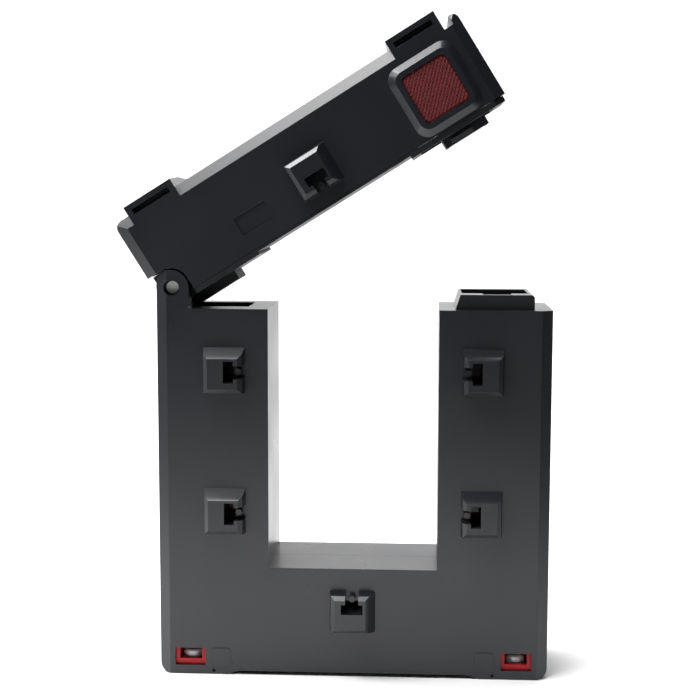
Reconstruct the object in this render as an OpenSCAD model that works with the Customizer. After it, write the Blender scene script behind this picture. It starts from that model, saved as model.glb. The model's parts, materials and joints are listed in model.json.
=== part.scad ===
// Split-core current transformer with a hinged, latched lid.
// X runs across the window, Y from front (-) to rear (+), Z up; the origin is the middle of
// the footprint, on the floor. The lid is drawn shut and turned open about its hinge pin.

/* [Window and body] */
// Width of the conductor window
window_w = 50; // [40:1:60]
// Width of each leg of the housing
leg_w = 33; // [32:0.5:36]
// Height of the lower edge of the window
sill_z = 33; // [32:0.5:40]
// Height of the flat tops of the legs
leg_top_z = 110.2; // [104:0.1:125]
// Depth of the housing from front face to rear face
body_d = 32; // [31:0.5:36]
// Wall of the moulded shells
wall = 2.2; // [2:0.1:2.4]
// Width of the bevel down each side edge
bevel_w = 3.2; // [2:0.1:4]
// Depth of the bevel down each side edge
bevel_d = 2.0; // [1:0.1:2.4]
// Radius of the lower corners
corner_r = 3.0; // [2.6:0.1:5]
// Width of each foot
foot_w = 20; // [16:0.5:21]
// Length of the slope from a foot up to the raised middle
foot_ramp = 4; // [2:0.5:5]
// How far the middle of the underside stands off the floor
foot_lift = 1.15; // [0.5:0.05:1.6]
// Gap left at the mid-depth seam between front and rear shells
seam_gap = 0.16; // [0.08:0.02:0.24]

/* [Hinge] */
// Hinge axis, in from the side of the housing
pivot_inset = 4.6; // [4.4:0.1:5]
// Hinge axis, above the tops of the legs
pivot_rise = 6.1; // [5.9:0.1:7]
// Radius of the two hinge ears
ear_r = 5.2; // [4.8:0.1:5.4]
// Diameter of the hinge pin
pin_d = 3.6; // [3:0.1:4]
// Diameter of the counterbore in front of the pin
pin_counterbore_d = 4.75; // [4.4:0.05:5]
// How far the ends of the pin lie below the faces
pin_recess = 2.8; // [1:0.1:3.5]
// Radial clearance of the pin in the ears
pin_fit = 0.02; // [0.01:0.01:0.04]
// Radial running clearance of the pin in the lid
pin_clear = 0.05; // [0.03:0.01:0.09]
// Gap beside and around the hinge parts that pass each other
hinge_gap = 0.3; // [0.25:0.05:0.5]
// Radius of the relief round the ears in the lid shells
relief_r = 5.8; // [5.6:0.1:6]
// Angle that the lid stands open at
open_angle = 32; // [0:1:90]

/* [Lid] */
// How far each end of the lid stands past the sides of the housing
lid_overhang = 0.2; // [0:0.1:1]
// Gap between the leg tops and the pads under the closed lid
lid_gap = 0.7; // [0.5:0.1:1.2]
// Thickness of the pads under the lid, over the legs
pad_t = 0.9; // [0.6:0.1:1.2]
// Distance of the pads from the edges of the window
pad_inset = 1; // [0.5:0.1:2]
// Thickness of the edge of the base plate that shows below the shells
plate_edge_t = 0.7; // [0.5:0.1:1]
// Groove between that edge and the shells
plate_groove = 0.2; // [0.1:0.05:0.4]
// Height of the lid shells
lid_shell_h = 27.9; // [27.5:0.1:30]
// Height of the bevel along the top of the lid
top_bevel_h = 3.2; // [2:0.1:3.6]
// Radius of the upper corner at the hinge end
lid_corner_r = 2.5; // [1:0.1:3.5]
// How far the base plate stops short of the latch end
plate_short = 0.9; // [0.5:0.1:1.2]
// Thickness of the raised part of the base plate inside the shells
plate_t = 1.7; // [1.4:0.1:1.9]
// Clearance round the base plate inside the shells
plate_clear = 0.2; // [0.1:0.05:0.3]
// Length of each raised tab on top of the lid
tab_l = 16.1; // [12:0.1:18]
// Centre of each tab, in from the end of the lid
tab_inset = 13.5; // [12.5:0.1:15]
// Height of the tabs above the top of the lid
tab_h = 2.6; // [1.5:0.1:4]
// Extra height of a tab at mid-depth
tab_ridge = 0.7; // [0:0.1:1.2]
// Length of the blind slot in each tab
tab_slot_l = 12.45; // [8:0.05:13.5]
// Height of the blind slot in each tab
tab_slot_h = 1.7; // [1:0.1:2]
// Depth of the blind slot in each tab
tab_slot_d = 4; // [2:0.5:6]
// Thickness of the finger lip at the latch end
lip_t = 2.4; // [1.5:0.1:2.6]
// How far the finger lip stops below the top of the lid
lip_drop = 0.7; // [0.3:0.1:1.5]
// Depth of the finger notch behind the lip
lip_notch = 3.6; // [2:0.1:4]
// Size of the shallow blank marking panel
panel_size = [10.7, 5.9];
// Centre of the marking panel, from the middle and from the bottom of the shells
panel_at = [-21.75, 7.95];
// Depth of the marking panel
panel_d = 0.4; // [0.2:0.1:0.8]

/* [Latch] */
// Width of the push button
button_w = 14.3; // [12:0.1:15]
// Height of the push button
button_h = 14.8; // [12:0.1:15]
// Centre of the button, in from the latch end of the lid
button_inset = 16.3; // [15.7:0.1:17.2]
// Centre of the button above the bottom of the shells
button_rise = 11.5; // [11.5:0.1:12.5]
// Travel of the button
button_travel = 1.6; // [1:0.1:1.8]
// Clearance round the button
button_clear = 0.15; // [0.1:0.01:0.2]
// Corner radius of the button
button_r = 1.6; // [1:0.1:2.5]
// Depth of the button face below the rim of its bezel
button_sink = 0.5; // [0.1:0.1:0.8]
// Height of the bezel over the face of the lid
bezel_h = 1.5; // [1:0.1:2]
// Width of the flat rim round the button
bezel_rim = 1.6; // [1:0.1:2]
// Width of the sloping skirt of the bezel
bezel_skirt = 1.9; // [1:0.1:2]
// Outer corner radius of the bezel
bezel_r = 4.0; // [3:0.1:5]
// Corner radius of the rim of the bezel
bezel_rim_r = 2.9; // [2.4:0.1:4]
// Thickness of the flange that keeps the button in
flange_t = 1.2; // [1:0.1:1.6]
// Width of that flange round the button
flange_w = 0.9; // [0.6:0.1:1.1]
// Thickness of the latch arm
strip_t = 0.8; // [0.5:0.1:1]
// Width of the latch arm
strip_w = 7.0; // [5:0.5:8]
// Distance of the arm behind the front face
strip_y = 4.6; // [4.4:0.1:5]
// Length of the arm held in its holder
strip_grip = 2.5; // [2:0.1:3]
// Side of the square pad that pushes on the arm
button_pad = 4; // [3:0.1:4.4]
// Centre of that pad, below the middle of the button
button_pad_drop = 5; // [4.5:0.1:5.2]
// Reach of the hook at the foot of the arm
hook_reach = 1.2; // [0.8:0.1:1.4]
// Top of the hook, below the leg tops when shut
hook_drop = 0.5; // [0.4:0.1:0.7]
// Height of the hook
hook_h = 1.1; // [0.8:0.1:1.3]

/* [Core] */
// Width of the laminated core in the plane of the window
core_w = 12; // [10:0.5:13]
// Room between the front face and the core
core_front = 10.5; // [10:0.1:11]
// Room between the rear face and the core
core_rear = 7.5; // [7:0.1:8]
// Core, outward from the middle of its leg
core_out = 1.8; // [1.4:0.1:2]
// Pole faces of the lower core, below the leg tops
pole_drop = 2.2; // [2:0.1:2.4]
// Air gap left between the pole faces when shut
pole_gap = 0.15; // [0.1:0.05:0.3]
// Clearance round the core
core_clear = 0.1; // [0.05:0.01:0.15]
// Clearance between the yoke and the wall under the window
yoke_clear = 2.8; // [2:0.1:3.5]
// Thickness of the ribs that hold the yoke
rib_t = 2; // [1.5:0.1:2.5]
// Distance of the inner ribs from the middle
rib_mid_x = 13; // [8:0.5:16]
// Frames round the lower core's poles, below the leg tops
frame_drop = 7.7; // [7:0.1:8]
// Thickness of those frames
frame_t = 2; // [1.5:0.1:2.4]
// Gap between the lid core and the roof of the base plate
bar_gap = 0.5; // [0.3:0.1:0.8]
// Wall of the sleeves round the poles of the lid core
sleeve_t = 1.1; // [0.9:0.1:1.3]
// Clearance between those sleeves and the pole sockets
socket_clear = 0.3; // [0.2:0.05:0.4]
// Extra clearance of the sockets outside the sleeves, for the swing
socket_swing = 0.6; // [0.5:0.1:0.7]
// Length of the sockets towards the window, past the sleeves
socket_spare = 4.4; // [3:0.1:4.6]
// Thickness of the leaf springs that press the lid core down
leaf_t = 0.6; // [0.4:0.1:0.8]
// Width of the leaf springs
leaf_w = 10; // [8:1:12]
// Half the span of a leaf spring
leaf_half = 15.5; // [12:0.5:16]

/* [Pole collar] */
// Height of the collar round the pole socket of the latch leg
collar_h = 4.4; // [3:0.1:4.6]
// Wall of the collar on the window side
collar_wall = 2.0; // [1.6:0.1:2.4]
// Wall of the collar on the outer side
collar_outer_wall = 1.6; // [1.2:0.1:1.8]
// Slant of the window side of the collar
collar_slant = 1.4; // [0.5:0.1:1.6]
// Distance of the collar behind the front and rear faces
collar_setback = 2.4; // [2.3:0.05:2.8]
// Clearance round the collar in the lid
collar_clear = 0.6; // [0.5:0.05:0.8]
// Rounding of the outer upper edge of the collar
collar_r = 1.0; // [0.5:0.1:1.4]

/* [Winding] */
// Wall of the bobbin tubes
bobbin_wall = 1.0; // [0.8:0.1:1.2]
// Thickness of the bobbin flanges
bobbin_flange_t = 1.2; // [1:0.1:2]
// Gap between the flanges of a bobbin and the walls of its leg
bobbin_room = 0.2; // [0.1:0.05:0.5]
// How far the winding stays below the edges of the flanges
winding_inset = 0.5; // [0.3:0.1:1.5]
// Length of each bobbin
bobbin_l = 52; // [44:1:54]
// Top of each bobbin, below the leg tops
bobbin_drop = 14; // [12:0.5:16]
// Clearance between a bobbin and the core
bobbin_clear = 0.1; // [0.05:0.01:0.15]
// Radius of the corners of the windings
winding_r = 3; // [2:0.1:3.5]
// Clearance between a winding and its bobbin
winding_clear = 0.05; // [0.02:0.01:0.1]
// Diameter of the lead wires
lead_d = 1.2; // [0.8:0.1:1.6]

/* [Mounting blocks] */
// Length of a block, along its slot
block_l = 12.2; // [11:0.1:14]
// Width of a block, across its slot
block_w = 13.5; // [12:0.1:14]
// Height of a block off the face
block_h = 5.0; // [4:0.1:6]
// Draft of the sides of a block
block_draft = 0.5; // [0.2:0.1:0.6]
// Draft of the flank of a block that leans more
block_lean = 1.6; // [0.5:0.1:1.8]
// Chamfer round the front of a block
block_chamfer = 1.2; // [0.8:0.1:1.3]
// Long side of the wide part of the T slot
tee_w = 6.4; // [5:0.1:7]
// Short side of the wide part of the T slot
tee_l = 2.9; // [2:0.1:3.2]
// Width of the neck of the T slot
neck_w = 3.9; // [3:0.1:4.4]
// Distance of the wide part from the middle of the block
tee_offset = 0.3; // [0.1:0.1:0.5]
// Diameter of the snap nub in the neck
nub_d = 1.9; // [1.2:0.1:2.2]
// Distance of the side blocks from the edges of the window
block_side = 12.9; // [12.5:0.1:14]
// Height of the upper pair of blocks, below the leg tops
block_upper_drop = 18.1; // [16:0.1:20]
// Spacing between the upper and lower pairs
block_pitch = 41.9; // [38:0.1:46]
// Lower edge of the window to the middle block
block_mid_drop = 12.8; // [12:0.1:14]
// Block on the lid, above the bottom of the shells
block_lid_rise = 9.8; // [9:0.1:12]

/* [Terminals] */
// Width of a terminal window
terminal_w = 9.1; // [8:0.1:9.6]
// Height of a terminal window
terminal_h = 5.3; // [4.5:0.1:5.4]
// Lower edge of a terminal window above the floor
terminal_z = 2.7; // [2.6:0.1:3]
// Centre of a terminal window, in from the side of the housing
terminal_inset = 9.3; // [9:0.1:9.5]
// Width of the insulating terminal block
tblock_w = 11.4; // [11:0.1:11.8]
// Depth of the insulating terminal block
tblock_d = 12.0; // [11.5:0.1:13]
// Height of the insulating terminal block
tblock_h = 10.4; // [10:0.1:11]
// Thickness of the floor that is left below the terminal block
tblock_floor = 1.2; // [1:0.1:1.3]
// Front of the terminal block behind the face
tblock_set = 1.2; // [1:0.1:1.4]
// Clearance between the terminal block and its seat
tblock_clear = 0.1; // [0.05:0.05:0.15]
// Diameter of the terminal screw
tscrew_d = 3.0; // [2.6:0.1:3.2]
// Diameter of the head of the terminal screw
tscrew_head_d = 5.8; // [5.4:0.1:6]
// Height of the head of the terminal screw
tscrew_head_h = 2.0; // [1.8:0.1:2.2]
// Front of that head behind the face
tscrew_set = 3.0; // [2.8:0.1:3.4]
// Thickness of the terminal strip under the head
tstrip_t = 0.8; // [0.6:0.1:0.9]
// Width of the terminal strip
tstrip_w = 5.6; // [5:0.1:5.8]
// Tag that the lead is joined to, in from the back of the terminal block
tag_inset = 3.4; // [3.2:0.1:3.8]
// Thickness of the square nut
tnut_t = 1.8; // [1.6:0.1:1.9]
// Width of the square nut
tnut_w = 5.5; // [5:0.1:5.6]
// Size of the raised blank pads beside the windows
mark_size = 5.5; // [4.5:0.1:5.6]
// Centre of those pads, in from the side of the housing
mark_inset = 18.7; // [18.4:0.1:19]
// Height of the raised pads off the face
mark_h = 0.3; // [0.1:0.05:0.5]
// Diameter of the small drain hole beside each window
drain_d = 1.0; // [0.8:0.1:1.2]
// Distance of the drain hole from the edge of the window
drain_inset = 2.5; // [2:0.1:3]
// Corner radius of the raised pads
mark_r = 1.0; // [0.5:0.1:1.5]

/* [Screws] */
// Diameter of the housing screws
screw_d = 3.0; // [2.5:0.1:3.2]
// Head diameter of the housing screws
screw_head_d = 5.6; // [5:0.1:5.8]
// Length of the housing screws
screw_l = 20; // [19:0.5:24]
// Diameter of the screw bosses
boss_d = 5.8; // [5.4:0.1:6]
// Radial clearance of a screw in a plain hole
screw_clear = 0.2; // [0.15:0.05:0.3]
// Radial clearance of a screw in the boss it is driven into
thread_clear = 0.02; // [0.01:0.01:0.04]
// Screws beside the window, above its lower edge
screw_sill_rise = 3; // [2:0.5:6]
// Upper screws, below the leg tops
screw_top_drop = 10.2; // [10:0.1:12]
// First screw of the lid, in from the hinge side of the housing
lid_screw_inset = 12; // [11:0.5:14]
// Last screw of the lid, from the edge of the button
lid_screw_gap = 4.75; // [4.5:0.05:6]
// Diameter of the screws of the base plate
plate_screw_d = 2.4; // [2:0.1:2.6]
// Length of the screws of the base plate
plate_screw_l = 8; // [7:0.5:9]
// Distance of the base plate screws from the middle of the lid
plate_screw_x = 22; // [18:0.5:24]

/* [Hidden] */
$fn = 64;

// Colours
shell_grey = [0.23, 0.24, 0.25];
plate_grey = [0.17, 0.18, 0.19];
steel = [0.75, 0.76, 0.78];
core_grey = [0.55, 0.56, 0.58];
copper = [0.72, 0.40, 0.22];
nylon = [0.88, 0.86, 0.78];
terminal_red = [0.78, 0.10, 0.16];
button_red = [0.45, 0.10, 0.10];

cut = 0.5;        // how far a cut runs past the face it opens
weld = 0.3;       // how far a rib or boss runs into its wall
nub_gap = 0.2;    // nub beside the wide part of its slot

// Housing
body_w = window_w + 2 * leg_w;
half_w = body_w / 2;
half_d = body_d / 2;
half_window = window_w / 2;
foot_in = half_w - foot_w;
inner_y = half_d - wall;
inner_floor = foot_lift + wall;

// Hinge
pivot = [-half_w + pivot_inset, 0, leg_top_z + pivot_rise];

lug_r = relief_r - hinge_gap;
neck_h = 5.8;     // height of the neck between the lug and the base plate
lug_inset = 0.7;  // hinge end of the lug, in from the end of the lid
ear_right = pivot[0] + ear_r;
relief_x = pivot[0] + relief_r;

// Lid, shut
pad_z = leg_top_z + lid_gap;
plate_z = pad_z + pad_t;
plate_top_z = plate_z + plate_edge_t;
shell_z = plate_top_z + plate_groove;
lid_top_z = shell_z + lid_shell_h;
lid_half = half_w + lid_overhang;
plate_inner_z = plate_top_z + plate_t;
plate_end = lid_half - plate_short;
lug_root = relief_x + wall + plate_clear + 1;
neck_top = plate_top_z + neck_h;
tab_x = lid_half - tab_inset;
tab_slot_rise = 0.15;
tab_end = tab_x + tab_l / 2;
lip_flat = 0.4;     // flat left on top of the finger lip
lip_x = lid_half - lip_t;
notch_z = lid_top_z - lip_notch;
lid_inner_top = lid_top_z - wall;

// Core
leg_mid = half_window + leg_w / 2;
core_x = leg_mid + core_out;
core_d = body_d - core_front - core_rear;
core_mid = (core_front - core_rear) / 2;
core_y = [core_mid - core_d / 2, core_mid + core_d / 2];
pole_z = leg_top_z - pole_drop;
yoke_top = sill_z - wall - yoke_clear;
yoke_z = yoke_top - core_w;
pole_half = core_w / 2;
sleeve_x = pole_half + core_clear + sleeve_t;
sleeve_y = [core_y[0] - core_clear - sleeve_t, core_y[1] + core_clear + sleeve_t];
ear_y = sleeve_y[1] + hinge_gap;
lug_half = ear_y - hinge_gap;
socket_x = [core_x - sleeve_x - socket_spare, core_x + sleeve_x + socket_swing];
socket_y = [sleeve_y[0] - socket_clear, sleeve_y[1] + socket_clear];

// Collar, and the roof over it in the lid
swing_room = 0.2;   // more room at the latch end, for the swing
side_room = 0.4;    // beside the collar
roof_t = 1.6;
roof_wall = 1.6;
collar_top = leg_top_z + collar_h;
collar_x = [socket_x[0] - collar_wall, socket_x[1] + collar_outer_wall];
collar_y = half_d - collar_setback;
moat_x = [collar_x[0] - collar_clear, collar_x[1] + collar_clear + swing_room];
moat_y = collar_y + side_room;
moat_top = collar_top + collar_clear;
roof_top = moat_top + roof_t;
bar_z = roof_top + bar_gap;
bar_top = bar_z + core_w;
lid_pole_z = pole_z + pole_gap;

// Button and latch, in the lid when shut
holder_roof = 1.4; // plastic above the head of the arm
holder_d = 2.0;   // plastic behind the head of the arm
holder_clear = 0.05;
hook_clear = 0.3;   // round the arm and its hook
button_bay = 2.2;   // beside the button in the roof of the base plate
slot_side = 0.7;    // each side of the arm in its slot
pad_clear = 0.02;   // between the pad and the arm
pad_r = 0.8;
holder_side = 1.5;  // plastic each side of the head of the arm
button_x = lid_half - button_inset;
button_z = shell_z + button_rise;
button_face_y = -half_d - bezel_h + button_sink;
flange_rest = 0.15; // flange of the button behind the wall
flange_y = -inner_y + flange_rest;
strip_front = -half_d + strip_y;
strip_back = strip_front + strip_t;
strip_top = lid_inner_top - holder_roof;
hook_top = leg_top_z - hook_drop;
hook_z = hook_top - hook_h;
latch_slot = [strip_w / 2 + slot_side, strip_front - hook_clear, socket_y[0] + weld];

// Screws
boss_gap = 0.9;     // between a boss and the wall beside it
boss_lift = 0.05;   // plate screw bosses clear of the base plate
bore_spare = 0.4;   // bore past the point of a plate screw
sink_clear = 0.2;   // round the head of a screw in its countersink
plate_sink_clear = 0.15;
screw_set = 0.15;   // head of a screw below the face
plate_screw_set = 0.1;
skin = 0.01;        // overshoot of a countersink
screw_x = half_window + wall + boss_d / 2 + boss_gap;
screw_rows = [(inner_floor + yoke_z) / 2 - weld, sill_z + screw_sill_rise, leg_top_z - screw_top_drop];
lid_screw_z = bar_top + core_clear + boss_d / 2 + boss_gap / 2;
lid_screw_ends = [-half_w + lid_screw_inset, button_x - button_w / 2 - lid_screw_gap];
lid_screw_mid = (lid_screw_ends[0] + lid_screw_ends[1]) / 2;
lid_screw_x = [lid_screw_ends[0], lid_screw_mid, lid_screw_ends[1]];
leaf_x = [(lid_screw_ends[0] + lid_screw_mid) / 2, (lid_screw_mid + lid_screw_ends[1]) / 2];
leaf_clear = 0.05;
plate_screw_y = inner_y - boss_d / 2 + 2 * weld;
screw_cone = (screw_head_d - screw_d) / 2;
plate_screw_head_d = 1.8 * plate_screw_d;
plate_screw_cone = (plate_screw_head_d - plate_screw_d) / 2;
frame_z = leg_top_z - frame_drop;

// Winding
flange_x = leg_w / 2 - wall - core_out - bobbin_room;
flange_half_y = inner_y - core_mid - bobbin_room;
bobbin_z = leg_top_z - bobbin_drop - bobbin_l;

// Terminals
terminal_x = half_w - terminal_inset;
terminal_mid = terminal_z + terminal_h / 2;
drain_x = terminal_x - terminal_w / 2 - drain_inset;
drain_rise = 0.2;   // drain hole above its own diameter
drain_z = drain_d + drain_rise;
window_r = 0.3;
strip_lift = 0.02;  // strip above its nut
strip_clear = 0.1;  // round the screw in the strip, and before the strip
nut_floor = 0.6;    // plastic under the nut
tag_drop = 0.6;     // tag below the top of its block
lead_lap = 3;       // lead along its tag
rib_x = [rib_mid_x, terminal_x - tblock_w / 2 - rib_t];
tblock_y = -half_d + tblock_set;
tscrew_y = -half_d + tscrew_set + tscrew_head_d / 2;
tnut_z = tblock_floor + nut_floor;
tstrip_z = tnut_z + tnut_t;
thead_z = tstrip_z + tstrip_t;
tag_y = tblock_y + tblock_d - tag_inset;
tag_top = tblock_floor + tblock_h - tag_drop;
head_clear = 0.4;   // round the head in its well
nut_clear = 0.05;
lead_clear = 0.05;
lead_back = 0.8;    // lead in front of the rear wall
lead_rise = 2;      // turn of the lead above its tag
lead_tag_y = tag_y + tstrip_t + lead_d / 2 + lead_clear;
lead_end = tag_top - lead_lap;

// ---------------------------------------------------------------- drawing helpers

// Extrudes a front-view outline (x, z) from y0 back to y1.
module from_front(y0, y1) {
    translate([0, y1, 0]) rotate([90, 0, 0]) linear_extrude(y1 - y0) children();
}

// Extrudes a side-view outline (y, z) from x0 to x1.
module from_side(x0, x1) {
    translate([x0, 0, 0]) rotate([90, 0, 90]) linear_extrude(x1 - x0) children();
}

// A box between two corners.
module block(lo, hi) {
    translate(lo) cube(hi - lo);
}

// A rod along Y.
module rod_y(x, z, d, y0, y1) {
    translate([x, y1, z]) rotate([90, 0, 0]) cylinder(d = d, h = y1 - y0);
}

// A rectangle with true round corners, centred.
module rounded(w, h, r) {
    square([w - 2 * r, h], center = true);
    square([w, h - 2 * r], center = true);
    for (i = [-1, 1], j = [-1, 1])
        translate([i * (w / 2 - r), j * (h / 2 - r)]) circle(r);
}

// Keeps the front half (side -1) or the rear half (side 1) up to the seam.
module half(side) {
    intersection() {
        children();
        if (side < 0)
            block([-2 * half_w, -2 * body_d, -body_w], [2 * half_w, -seam_gap / 2, 2 * body_w]);
        else
            block([-2 * half_w, seam_gap / 2, -body_w], [2 * half_w, 2 * body_d, 2 * body_w]);
    }
}

// Turns the closed lid to the angle it stands open at.
module opened() {
    translate(pivot) rotate([0, -open_angle, 0]) translate(-pivot) children();
}

// ---------------------------------------------------------------- lower housing

// Plan section with its bevelled side edges, inset by m.
module plan_section(half_x, m = 0) {
    x = half_x - m;
    y = half_d - m;
    polygon([[-x + bevel_w, -y], [x - bevel_w, -y], [x, -y + bevel_d], [x, y - bevel_d],
        [x - bevel_w, y], [-x + bevel_w, y], [-x, y - bevel_d], [-x, -y + bevel_d]]);
}

// U-shaped front view of the housing, inset by m.
module body_outline(m, top) {
    x = half_w - m;
    w = half_window + m;
    r = max(corner_r - m, 0.4);
    difference() {
        union() {
            polygon([[-x, top], [-x, m + r], [-x + r, m], [-foot_in, m],
                [foot_ramp - foot_in, foot_lift + m], [foot_in - foot_ramp, foot_lift + m],
                [foot_in, m], [x - r, m], [x, m + r], [x, top]]);
            for (s = [-1, 1]) translate([s * (x - r), m + r]) circle(r);
        }
        translate([-w, sill_z - m]) square([2 * w, leg_top_z]);
    }
}

// Hinge ear, seen from the front.
module ear_outline() {
    translate([pivot[0], pivot[2]]) circle(ear_r);
    translate([-half_w, leg_top_z - wall])
        square([ear_right + half_w, pivot[2] - leg_top_z + wall]);
}

// Collar round the pole socket of the latch leg, seen from the front.
module collar_outline() {
    base = leg_top_z - wall;
    slant = collar_slant * (leg_top_z - base) / collar_h;
    polygon([[collar_x[0] - slant, base], [collar_x[0] + collar_slant, collar_top],
        [collar_x[1] - collar_r, collar_top], [collar_x[1], collar_top - collar_r],
        [collar_x[1], base]]);
    translate([collar_x[1] - collar_r, collar_top - collar_r]) circle(collar_r);
}

// Block with a T slot, standing off the face at y = 0 with its mouth towards +X and the flank
// that leans more towards +Z.
module mounting_block() {
    front = block_h - block_chamfer;
    l = block_l / 2;
    w = block_w / 2;
    channel = l - tee_offset;
    difference() {
        intersection() {
            linear_extrude(block_w + 2, center = true)
                polygon([[-l, weld], [-l, 0], [-l + block_draft, -front],
                    [-l + block_draft + block_chamfer, -block_h],
                    [l - block_draft - block_chamfer, -block_h],
                    [l - block_draft, -front], [l, 0], [l, weld]]);
            from_side(-block_l, block_l)
                polygon([[weld, -w], [0, -w], [-front, -w + block_draft],
                    [-block_h, -w + block_draft + block_chamfer],
                    [-block_h, w - block_lean - block_chamfer],
                    [-front, w - block_lean], [0, w], [weld, w]]);
        }
        block([tee_offset, -block_h - cut, -tee_w / 2], [tee_offset + tee_l, cut, tee_w / 2]);
        block([tee_offset, -block_h - cut, -neck_w / 2], [tee_offset + channel + cut, cut, neck_w / 2]);
    }
    translate([tee_offset + tee_l + nub_gap + nub_d / 2, cut / 5, 0]) rotate([90, 0, 0])
        cylinder(d = nub_d, h = block_h / 2);
}

// Hole behind the wide part of the slot, through the wall.
module tee_hole() {
    block([tee_offset, -block_h - cut, -tee_w / 2], [tee_offset + tee_l, wall + weld, tee_w / 2]);
}

// Puts its child at every block of the housing: the pairs beside the window and the one below it.
module at_housing_blocks() {
    for (row = [0, 1]) translate([0, -half_d, leg_top_z - block_upper_drop - row * block_pitch]) {
        translate([-half_window - block_side, 0, 0]) children();
        translate([half_window + block_side, 0, 0]) mirror([1, 0, 0]) children();
    }
    translate([0, -half_d, sill_z - block_mid_drop]) rotate([0, -90, 0]) mirror([0, 0, 1]) children();
}

// Puts its child at the block of the lid.
module at_lid_block() {
    translate([0, -half_d, shell_z + block_lid_rise]) rotate([0, 90, 0]) children();
}

// Hollow inside both halves of the housing, as one space.
module body_cavity() {
    intersection() {
        from_front(-inner_y, inner_y) body_outline(wall, leg_top_z - wall);
        translate([0, 0, -cut]) linear_extrude(leg_top_z) plan_section(half_w, wall);
    }
}

// Room that the U-shaped core needs.
module core_room(c) {
    y = [core_y[0] - c, core_y[1] + c];
    block([-core_x - pole_half - c, y[0], yoke_z - c], [core_x + pole_half + c, y[1], yoke_top + c]);
    for (s = [-1, 1])
        block([s * core_x - pole_half - c, y[0], yoke_z],
            [s * core_x + pole_half + c, y[1], leg_top_z + cut]);
}

// Ribs below the window that hold the yoke, and frames that hold the poles.
module core_supports() {
    intersection() {
        difference() {
            union() {
                for (s = [-1, 1], x = rib_x)
                    block([s * x - rib_t / 2, -half_d + weld, foot_lift],
                        [s * x + rib_t / 2, half_d - weld, yoke_top + yoke_clear + weld]);
                for (s = [-1, 1])
                    block([s * leg_mid - leg_w / 2 + weld, -half_d + weld, frame_z],
                        [s * leg_mid + leg_w / 2 - weld, half_d - weld, frame_z + frame_t]);
            }
            core_room(core_clear);
            for (s = [-1, 1]) terminal_seat(s);
        }
        housing_solid();
    }
}

// Solid outer form of the housing without its collar and ears.
module housing_solid() {
    intersection() {
        from_front(-half_d, half_d) body_outline(weld, leg_top_z - weld);
        linear_extrude(leg_top_z) plan_section(half_w, weld);
    }
}

// Seat of a terminal block in the floor of a leg.
module terminal_seat(s) {
    w = tblock_w / 2 + tblock_clear;
    block([s * terminal_x - w, tblock_y - tblock_clear, tblock_floor],
        [s * terminal_x + w, tblock_y + tblock_d + tblock_clear, tblock_floor + tblock_h + tblock_clear]);
}

// Slots in the top of a leg that take the pole sleeve of the lid.
module pole_socket(s) {
    x = s > 0 ? socket_x : [-socket_x[1], -socket_x[0]];
    block([x[0], socket_y[0], frame_z + frame_t], [x[1], socket_y[1], collar_top + cut]);
}

// Everything that one half of the housing is moulded with, before its screw holes.
module housing_body(side) {
    half(side) difference() {
        union() {
            difference() {
                intersection() {
                    from_front(-half_d, half_d) body_outline(0, leg_top_z);
                    linear_extrude(leg_top_z) plan_section(half_w);
                }
                body_cavity();
            }
            core_supports();
            intersection() {
                for (s = [-1, 1]) from_front(s < 0 ? -half_d : ear_y, s < 0 ? -ear_y : half_d) ear_outline();
                linear_extrude(2 * leg_top_z) plan_section(half_w);
            }
            from_front(-collar_y, collar_y) collar_outline();
            for (s = [-1, 1], z = screw_rows)
                rod_y(s * screw_x, z, boss_d, -half_d + weld, half_d - weld);
        }
        for (s = [-1, 1]) pole_socket(s);
        block([button_x - latch_slot[0], latch_slot[1], frame_z + frame_t],
            [button_x + latch_slot[0], latch_slot[2], collar_top + cut]);
        block([button_x - latch_slot[0], strip_front - hook_reach - hook_clear, frame_z + frame_t],
            [button_x + latch_slot[0], latch_slot[2], hook_top + hook_clear]);
        rod_y(pivot[0], pivot[2], pin_d + 2 * pin_fit, -half_d - cut, half_d + cut);
        rod_y(pivot[0], pivot[2], pin_counterbore_d, -half_d - cut, -half_d + pin_recess);
        rod_y(pivot[0], pivot[2], pin_counterbore_d, half_d - pin_recess, half_d + cut);
        for (s = [-1, 1]) terminal_seat(s);
    }
}

module lower_front_shell() {
    color(shell_grey) difference() {
        union() {
            housing_body(-1);
            at_housing_blocks() mounting_block();
            for (s = [-1, 1])
                translate([s * (half_w - mark_inset), 0, terminal_mid])
                    from_front(-half_d - mark_h, -half_d + weld) rounded(mark_size, mark_size, mark_r);
        }
        at_housing_blocks() tee_hole();
        for (s = [-1, 1]) {
            translate([s * terminal_x, 0, terminal_mid])
                from_front(-half_d - cut, tblock_y) rounded(terminal_w, terminal_h, window_r);
            rod_y(s * drain_x, drain_z, drain_d, -half_d - cut, -half_d + drain_d);
            for (z = screw_rows)
                rod_y(s * screw_x, z, screw_d + 2 * thread_clear, half_d - screw_l - 1, 0);
        }
    }
}

module lower_rear_shell() {
    color(shell_grey) difference() {
        housing_body(1);
        for (s = [-1, 1], z = screw_rows) screw_hole(s * screw_x, z);
    }
}

// Plain hole with its countersink for a screw driven from the rear face.
module screw_hole(x, z) {
    rod_y(x, z, screw_d + 2 * screw_clear, -cut, half_d + cut);
    translate([x, half_d + skin, z]) rotate([90, 0, 0])
        cylinder(d1 = screw_head_d + 2 * sink_clear, d2 = screw_d + 2 * sink_clear,
            h = screw_cone + sink_clear);
}

// Countersunk screw from the rear face, with a cross recess.
module rear_screw(x, z) {
    top = half_d - screw_set;
    translate([x, top, z]) rotate([90, 0, 0]) difference() {
        union() {
            cylinder(d1 = screw_head_d, d2 = screw_d, h = screw_cone);
            cylinder(d = screw_d, h = screw_l);
        }
        cross_recess(screw_head_d * 0.55, 1);
    }
}

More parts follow.
